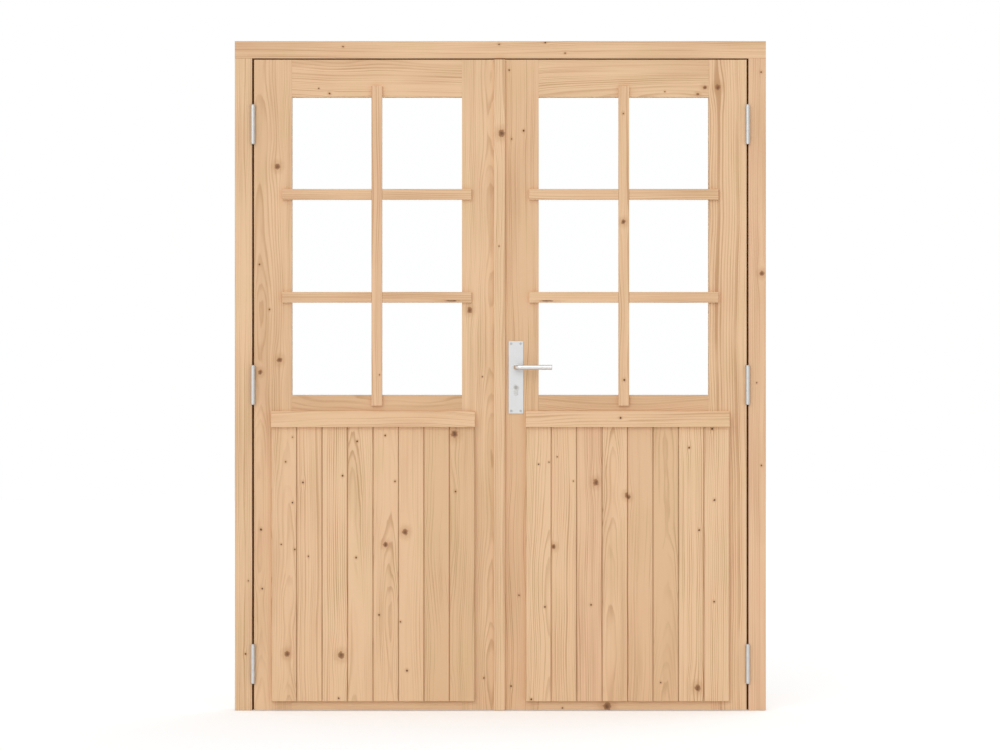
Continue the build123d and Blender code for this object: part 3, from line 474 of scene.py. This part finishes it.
board("right", 5, heart=(0.060, 0.045), lean=(0.0, 0.010), ring=0.0052, lines=0.95, cast="tan", tone=-0.15,
      knots=((0.406, 0.676, 0.0065),))
board("right", 6, heart=(0.0, 0.065), lean=(0.0, 0.030), ring=0.0036, lines=0.70, cast="olive", tone=-0.18,
      knots=((0.507, 0.090, 0.0026),))
board("right", 7, heart=(-0.09, 0.03), ring=0.0064, lines=1.40, cast="straw",
      knots=((0.597, 0.833, 0.0031), (0.629, 0.572, 0.0031), (0.624, 0.073, 0.0095)))
board("right", 8, heart=(0.075, 0.03), lean=(0.0, 0.006), ring=0.0056, lines=1.23, cast="straw", tone=-0.03,
      knots=((0.670, 0.892, 0.0034), (0.677, 0.667, 0.0031), (0.676, 0.346, 0.0029)))


# Weather rails, glazing bars, beads and cover strip
# Planed mouldings glued and pinned to the leaves, each from its own straight-grained stick. The weather
# rails and the bars stand on the front, the cover strip laps over the meeting gap, and the mitred beads
# hold the glass at the back.

moulding_easing = 0.0004
cover_strip_easing = 0.0002

spruce("left_drip_rail", grain="X", heart=(0.08, 0.05), lean=(0.01, 0.0), ring=0.0062, lines=0.9,
       sway=0.05, tone=-0.12)
spruce("right_drip_rail", grain="X", heart=(-0.08, 0.05), lean=(-0.01, 0.0), ring=0.0058, lines=0.95,
       tone=-0.22,
       knots=((0.380, 0.927, 0.0031),))
spruce("left_vertical_bar", heart=(0.05, 0.035), lean=(0.0, 0.01), ring=0.0060, cast="pink",
       knots=((-0.382, 1.063, 0.0022),))
spruce("right_vertical_bar", heart=(-0.05, 0.035), lean=(0.0, 0.01), ring=0.0060,
       knots=((0.389, 1.890, 0.0029), (0.390, 1.547, 0.0072), (0.392, 1.047, 0.0034)))
spruce("left_horizontal_bars", grain="X", heart=(0.05, 0.035), ring=0.0060,
       knots=((-0.154, 1.297, 0.0018, 13.0),))
spruce("right_horizontal_bars", grain="X", heart=(-0.05, 0.035), ring=0.0060,
       knots=((0.148, 1.297, 0.0018, 13.0),))
for side in ("left", "right"):
    spruce(f"{side}_glass_beads", grain="mitred", heart=(0.07, 0.04), ring=0.0032)
    for part in ("drip_rail", "vertical_bar", "horizontal_bars", "glass_beads"):
        ease_edges(moulding_easing, f"{side}_{part}")
spruce("astragal", heart=(0.07, 0.02), ring=0.0062, lines=1.3, cast="straw",
       knots=((0.004, 1.827, 0.0105), (-0.004, 1.470, 0.0022)))
ease_edges(cover_strip_easing, "astragal")


# Glass
# One clear float pane in each leaf, let into the rebate from the back. The beads bed it against the
# lip of the rebate, and the bars are planted in front of it.

pane, tree, shader = new_material("clear_float_glass")
tree.feed(shader, {
    "Base Color": (0.99, 0.998, 0.994, 1.0), "Roughness": 0.0, "IOR": 1.5, "Transmission Weight": 1.0,
})
for side in ("left", "right"):
    dress(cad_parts[f"{side}_glass"], pane)


# Hinges
# Three loose-pin steel butts on each leaf, bright zinc plated. The plates are let into the edges of
# the leaf and the jamb, and the knuckles and the capped pin stand in front of the gap.

def steel(name, colour, roughness, brushed=None, mottle=0.0):
    """Bare or plated steel, with the fine lines of brushing along an axis, or the mottle of plating."""
    material, tree, shader = new_material(name)
    place = tree.add("ShaderNodeTexCoord", out="Object")
    marks_across, marks_along, marks_unbrushed = 1100.0, 9.0, 420.0
    if brushed:
        marks = tuple(marks_along if axis == brushed else marks_across for axis in "XYZ")
        contrast = 0.10
    else:
        marks = (marks_unbrushed, marks_unbrushed, marks_unbrushed)
        contrast = 0.05
    lines = tree.noise(1.0, 2.0, Vector=tree.vector_math("MULTIPLY", place, marks))
    cloud = tree.noise(55.0, 3.0, Vector=place)
    tone = tree.vary(tree.vary(1.0, lines, contrast), cloud, mottle)
    rough = tree.vary(tree.vary(roughness, lines, 0.16), cloud, 0.14)
    bump = {"Height": lines, "Strength": 0.25, "Distance": 0.00002}
    tree.feed(shader, {
        "Base Color": tree.scale(colour, tone), "Roughness": rough, "Metallic": 1.0,
        "Normal": tree.add("ShaderNodeBump", bump, out="Normal"),
    })
    return material


def finish(material, *nodes):
    """Gives CAD pieces one material."""
    for node in nodes:
        dress(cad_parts[node], material)


bright_zinc = steel("bright_zinc", (0.575, 0.575, 0.565), 0.36, mottle=0.14)
finish(bright_zinc, "frame_hinge_plates", "left_hinge_plates", "right_hinge_plates", "hinge_pins")


# Mortise lock
# A pressed steel case let into the active leaf's edge, with a latch and a dead bolt, and a nickelled
# cylinder through it. The passive leaf's edge carries the strike plate that both bolts enter.

finish(steel("lock_case_zinc", (0.62, 0.62, 0.60), 0.42, mottle=0.22), "lock_case", "strike_plate")
finish(steel("lock_bolt_steel", (0.70, 0.69, 0.66), 0.26, brushed="X"), "latch_bolt", "dead_bolt", "follower")
finish(steel("satin_nickel", (0.55, 0.54, 0.51), 0.30, brushed="Z"), "lock_cylinder")
finish(steel("plug_nickel", (0.42, 0.41, 0.39), 0.34, brushed="Z"), "cylinder_plug")


# Handles
# Satin stainless: a flat backplate on each side, and a lever bent from round bar with a square-cut
# end. The inside lever carries the square spindle that goes through the lock.

finish(steel("satin_plate", (0.60, 0.60, 0.60), 0.42, brushed="Z"), "handle_plates")
finish(steel("satin_lever", (0.69, 0.69, 0.69), 0.30, brushed="X"), "front_lever", "back_lever")


# Slide bolts
# Two round bolts in pressed guides on the inside of the passive leaf, hot zinc plated. The guides are
# screwed to the meeting stile, and the bolts run into the head and the floor.

finish(steel("guide_zinc", (0.64, 0.65, 0.66), 0.44, mottle=0.26), "slide_bolt_guides")
slide_rod_zinc = steel("slide_rod_zinc", (0.70, 0.70, 0.70), 0.34, brushed="Z", mottle=0.10)
finish(slide_rod_zinc, "top_slide_bolt", "bottom_slide_bolt")


# Wood screws
# Countersunk and cross-slotted, zinc plated: long ones for the frame's corners, middling ones for the
# hinges and short ones for the fittings. Each is turned from wire, and its thread is cut as one helix.

head_radius = 0.004
head_rim = 0.0003
head_cone = 0.0020
shank_radius = 0.0020
shortest_shank = 0.0004
core_radius = 0.0014
core_taper = 0.0006
thread_radius = 0.0023
thread_depth = thread_radius - core_radius
thread_pitch = 0.0019
thread_run_in = 0.0002
steps_per_turn = 12
screw_point = 0.0045
slot_depth = 0.0021
slot_length = 0.0058
slot_width = 0.0013
slot_taper = 0.45
turn_between_screws = 0.83
screw_zinc = steel("screw_zinc", (0.47, 0.47, 0.46), 0.32, mottle=0.12)


def deselect():
    bpy.ops.object.select_all(action="DESELECT")


def pick_underside(obj):
    """In edit mode, selects just the faces that look down."""
    bpy.ops.mesh.select_all(action="DESELECT")
    bpy.ops.object.mode_set(mode="OBJECT")
    for face in obj.data.polygons:
        face.select = face.normal.z < -0.5
    bpy.ops.object.mode_set(mode="EDIT")


def draw_in(drop, share):
    """Extrudes the picked face downwards and scales its end."""
    bpy.ops.mesh.extrude_region_move(TRANSFORM_OT_translate={"value": (0.0, 0.0, -drop)})
    bpy.ops.transform.resize(value=(share, share, 1.0))


def cross_cutter():
    """The two blades that cut a cross slot, tapered towards their tips."""
    blades = []
    for turn in (0, 90):
        deselect()
        bpy.ops.mesh.primitive_cube_add(size=1.0, location=(0.0, 0.0, 0.0))
        blade = bpy.context.object
        blade.scale = (slot_length, slot_width, 2 * slot_depth)
        blade.rotation_euler = (0.0, 0.0, math.radians(turn))
        bpy.ops.object.transform_apply(location=True, rotation=True, scale=True)
        bpy.ops.object.mode_set(mode="EDIT")
        pick_underside(blade)
        bpy.ops.transform.resize(value=(slot_taper, slot_taper, 1.0))
        bpy.ops.object.mode_set(mode="OBJECT")
        blades.append(blade)
    return blades


def turn_blank(length, threaded):
    """The screw before its thread is cut: head, shank, core and point, with the cross slot."""
    deselect()
    bpy.ops.mesh.primitive_cylinder_add(vertices=28, radius=head_radius, depth=head_rim,
                                        location=(0.0, 0.0, -head_rim / 2))
    blank = bpy.context.object
    bpy.ops.object.transform_apply(location=True, rotation=True, scale=True)
    bpy.ops.object.mode_set(mode="EDIT")
    pick_underside(blank)
    shank = length - threaded - screw_point - head_rim - head_cone
    draw_in(head_cone, shank_radius / head_radius)
    draw_in(max(shank, shortest_shank), 1.0)
    draw_in(core_taper, core_radius / shank_radius)
    draw_in(threaded - core_taper, 1.0)
    draw_in(screw_point * 0.8, 0.35)
    draw_in(screw_point * 0.2, 0.12)
    bpy.ops.object.mode_set(mode="OBJECT")
    for blade in cross_cutter():
        slot = blank.modifiers.new("slot", "BOOLEAN")
        slot.operation = "DIFFERENCE"
        slot.solver = "EXACT"
        slot.object = blade
        bpy.context.view_layer.objects.active = blank
        bpy.ops.object.modifier_apply(modifier=slot.name)
        bpy.data.objects.remove(blade)
    return blank


def wind_thread(length, threaded):
    """The thread, as a three-sided wire wound up the core and closed at both ends."""
    turns = int(threaded / thread_pitch)
    top = -(length - threaded - screw_point) - thread_run_in
    wire_middle = (core_radius + thread_depth * 0.33, 0.0, top - turns * thread_pitch)
    deselect()
    bpy.ops.mesh.primitive_circle_add(vertices=3, radius=thread_depth * 0.66, fill_type="NOTHING",
                                      location=wire_middle,
                                      rotation=(math.radians(90), math.radians(90), 0.0))
    thread = bpy.context.object
    bpy.ops.object.transform_apply(location=True, rotation=True, scale=True)
    wind = thread.modifiers.new("wind", "SCREW")
    wind.axis = "Z"
    wind.screw_offset = thread_pitch
    wind.iterations = turns
    wind.steps = steps_per_turn
    wind.render_steps = steps_per_turn
    bpy.ops.object.modifier_apply(modifier=wind.name)
    bpy.ops.object.mode_set(mode="EDIT")
    bpy.ops.mesh.select_all(action="DESELECT")
    bpy.ops.mesh.select_non_manifold()
    bpy.ops.mesh.fill_holes(sides=3)
    bpy.ops.object.mode_set(mode="OBJECT")
    return thread


def model_screw(length, threaded):
    """One screw with the middle of its head at the origin, driven towards -Z."""
    screw = turn_blank(length, threaded)
    thread = wind_thread(length, threaded)
    deselect()
    thread.select_set(True)
    screw.select_set(True)
    bpy.context.view_layer.objects.active = screw
    bpy.ops.object.join()
    bpy.ops.object.mode_set(mode="EDIT")
    bpy.ops.mesh.select_all(action="SELECT")
    bpy.ops.mesh.normals_make_consistent(inside=False)
    bpy.ops.object.mode_set(mode="OBJECT")
    bpy.ops.object.shade_smooth_by_angle(angle=math.radians(32))
    return screw


def drive(name, body, node, batches):
    """Copies screws to their places, heads facing as given, and joins them as one piece for a CAD node."""
    copies = []
    for screw, places in batches:
        for place, facing in places:
            copy = screw.copy()
            copy.data = screw.data.copy()
            bpy.context.scene.collection.objects.link(copy)
            turn = Vector(facing).to_track_quat("Z", "X").to_matrix().to_4x4()
            spin = Matrix.Rotation(turn_between_screws * len(copies), 4, "Z")
            copy.data.transform(Matrix.Translation(Vector(place)) @ turn @ spin)
            copies.append(copy)
    deselect()
    for copy in copies:
        copy.select_set(True)
    bpy.context.view_layer.objects.active = copies[0]
    bpy.ops.object.join()
    piece = bpy.context.object
    piece.name = name
    dress(piece, screw_zinc)
    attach(piece, body)
    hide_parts(node)


# Where the screws go, as the CAD model places them, in metres.
frame_top = 2.120
jamb_middle = 0.8135
corner_screw_depths = (-0.003, 0.033)
leaf_foot = 0.001
leaf_top = 2.061
leaf_face = 0.021
hinge_above_foot = 0.147
hinge_below_top = 0.205
hinge_heights = (leaf_foot + hinge_above_foot, (leaf_foot + leaf_top) / 2, leaf_top - hinge_below_top)
hinge_screw_spacing = 0.042
hinge_screw_depth = -0.0043
jamb_hinge_plate = 0.7835
leaf_hinge_plate = 0.7825
meeting_edge = 0.0015
strike_screw_heights = (0.993, 1.122)
forend_screw_heights = (0.959, 1.141)
slide_from_edge = 0.030
slide_guide_heights = (1.996, 0.055)
slide_guide_thickness = 0.0025
slide_screw_spread = (0.0113, 0.031)
backset = 0.048
handle_plate_middle = 1.055
handle_plate_thickness = 0.003
handle_screw_spread = (0.015, 0.1065)


def hinge_screws(x, facing):
    """The nine screws in one row of hinge plates at this x."""
    steps = (-hinge_screw_spacing, 0.0, hinge_screw_spacing)
    return [((x, hinge_screw_depth, z + step), (facing, 0.0, 0.0)) for z in hinge_heights for step in steps]


def edge_screws(x, heights, facing):
    """The screws in the plate on a leaf's meeting edge."""
    return [((x, 0.0, z), (facing, 0.0, 0.0)) for z in heights]


def plate_screws(middle_x, middle_z, spread, y, facing):
    """The four screws at the corners of a plate, which are this far from its middle."""
    across, up = spread
    return [((middle_x + side * across, y, middle_z + end * up), (0.0, facing, 0.0))
            for side in (-1, 1) for end in (-1, 1)]


corner_screw = model_screw(length=0.100, threaded=0.060)
hinge_screw = model_screw(length=0.028, threaded=0.0185)
fitting_screw = model_screw(length=0.012, threaded=0.0052)

corners = [((x, y, frame_top), (0.0, 0.0, 1.0))
           for x in (-jamb_middle, jamb_middle) for y in corner_screw_depths]
jamb_hinges = hinge_screws(-jamb_hinge_plate, 1.0) + hinge_screws(jamb_hinge_plate, -1.0)
drive("frame_wood_screws", "frame", "frame_screws", [(hinge_screw, jamb_hinges), (corner_screw, corners)])

left_fittings = edge_screws(-meeting_edge, strike_screw_heights, 1.0)
for height in slide_guide_heights:
    left_fittings += plate_screws(-meeting_edge - slide_from_edge, height, slide_screw_spread,
                                  leaf_face + slide_guide_thickness, 1.0)
drive("left_wood_screws", "left_leaf", "left_leaf_screws",
      [(hinge_screw, hinge_screws(-leaf_hinge_plate, -1.0)), (fitting_screw, left_fittings)])

right_fittings = edge_screws(meeting_edge, forend_screw_heights, -1.0)
for facing in (-1.0, 1.0):
    right_fittings += plate_screws(meeting_edge + backset, handle_plate_middle, handle_screw_spread,
                                   facing * (leaf_face + handle_plate_thickness), facing)
drive("right_wood_screws", "right_leaf", "right_leaf_screws",
      [(hinge_screw, hinge_screws(leaf_hinge_plate, 1.0)), (fitting_screw, right_fittings)])
for spare in (corner_screw, hinge_screw, fitting_screw):
    bpy.data.objects.remove(spare)


# Floor and light
# A plain pale studio floor under the door, in even light from all round. One wide soft lamp stands
# before the door, a little to the left, and a weaker one lights the back from above.

floor_size = 40.0
floor_drop = 0.0005
floor_colour = (0.86, 0.86, 0.86, 1.0)
floor_glow = 0.25
ambient = 0.80
white = (1.0, 1.0, 1.0, 1.0)


def seen_directly(tree):
    """1 for what the camera sees, also in metal or through glass, and 0 for what only lights the door."""
    rays = tree.add("ShaderNodeLightPath").node.outputs
    indirect = tree.math("MAXIMUM", rays["Is Glossy Ray"], rays["Is Transmission Ray"])
    return tree.math("MAXIMUM", rays["Is Camera Ray"], indirect)


def soft_sun(name, azimuth, elevation, spread, strength):
    """Even light from one side of the studio, as from a very large and distant softbox."""
    data = bpy.data.lights.new(name, "SUN")
    data.angle = math.radians(spread)
    data.energy = strength
    lamp = bpy.data.objects.new(name, data)
    bpy.context.scene.collection.objects.link(lamp)
    turn, rise = math.radians(azimuth), math.radians(elevation)
    towards = Vector((math.sin(turn) * math.cos(rise), -math.cos(turn) * math.cos(rise), math.sin(rise)))
    lamp.rotation_euler = towards.to_track_quat("Z", "Y").to_euler()


deselect()
bpy.ops.mesh.primitive_plane_add(size=floor_size, location=(0.0, 0.0, -floor_drop))
floor = bpy.context.object
floor.name = "floor"
bpy.ops.object.transform_apply(location=True, rotation=True, scale=True)
material, tree, shader = new_material("pale_floor")
tree.feed(shader, {
    "Base Color": floor_colour, "Roughness": 0.9, "Specular IOR Level": 0.0, "Emission Color": white,
    "Emission Strength": tree.math("MULTIPLY", seen_directly(tree), floor_glow),
})
dress(floor, material)

world = bpy.data.worlds.new("studio")
bpy.context.scene.world = world
world.use_nodes = True
tree = Tree(world.node_tree)
# The background is white where it is seen, and gives off the weaker ambient light.
strength = tree.math("MULTIPLY_ADD", seen_directly(tree), 1.0 - ambient, ambient)
tree.feed(world.node_tree.nodes["Background"], {"Color": white, "Strength": strength})

soft_sun("key", azimuth=-18, elevation=24, spread=40, strength=0.66)
soft_sun("back", azimuth=150, elevation=45, spread=40, strength=0.30)


# Camera
# It looks square on at the door, level, from in front of the middle of the picture. It stands so far
# off that the depth of the door hardly shows, as in the photograph.

photo_scale = 0.003167
photo_width = 1000
camera_distance = 12.0
sensor_width = 36.0
view_x = -0.001
view_z = 1.0625

camera_data = bpy.data.cameras.new("camera")
camera_data.sensor_width = sensor_width
camera_data.lens = sensor_width * camera_distance / (photo_scale * photo_width)
camera = bpy.data.objects.new("camera", camera_data)
bpy.context.scene.collection.objects.link(camera)
camera.location = (view_x, -camera_distance - leaf_face, view_z)
camera.rotation_euler = (math.radians(90), 0.0, 0.0)
bpy.context.scene.camera = camera
bpy.context.scene.view_settings.view_transform = "Standard"
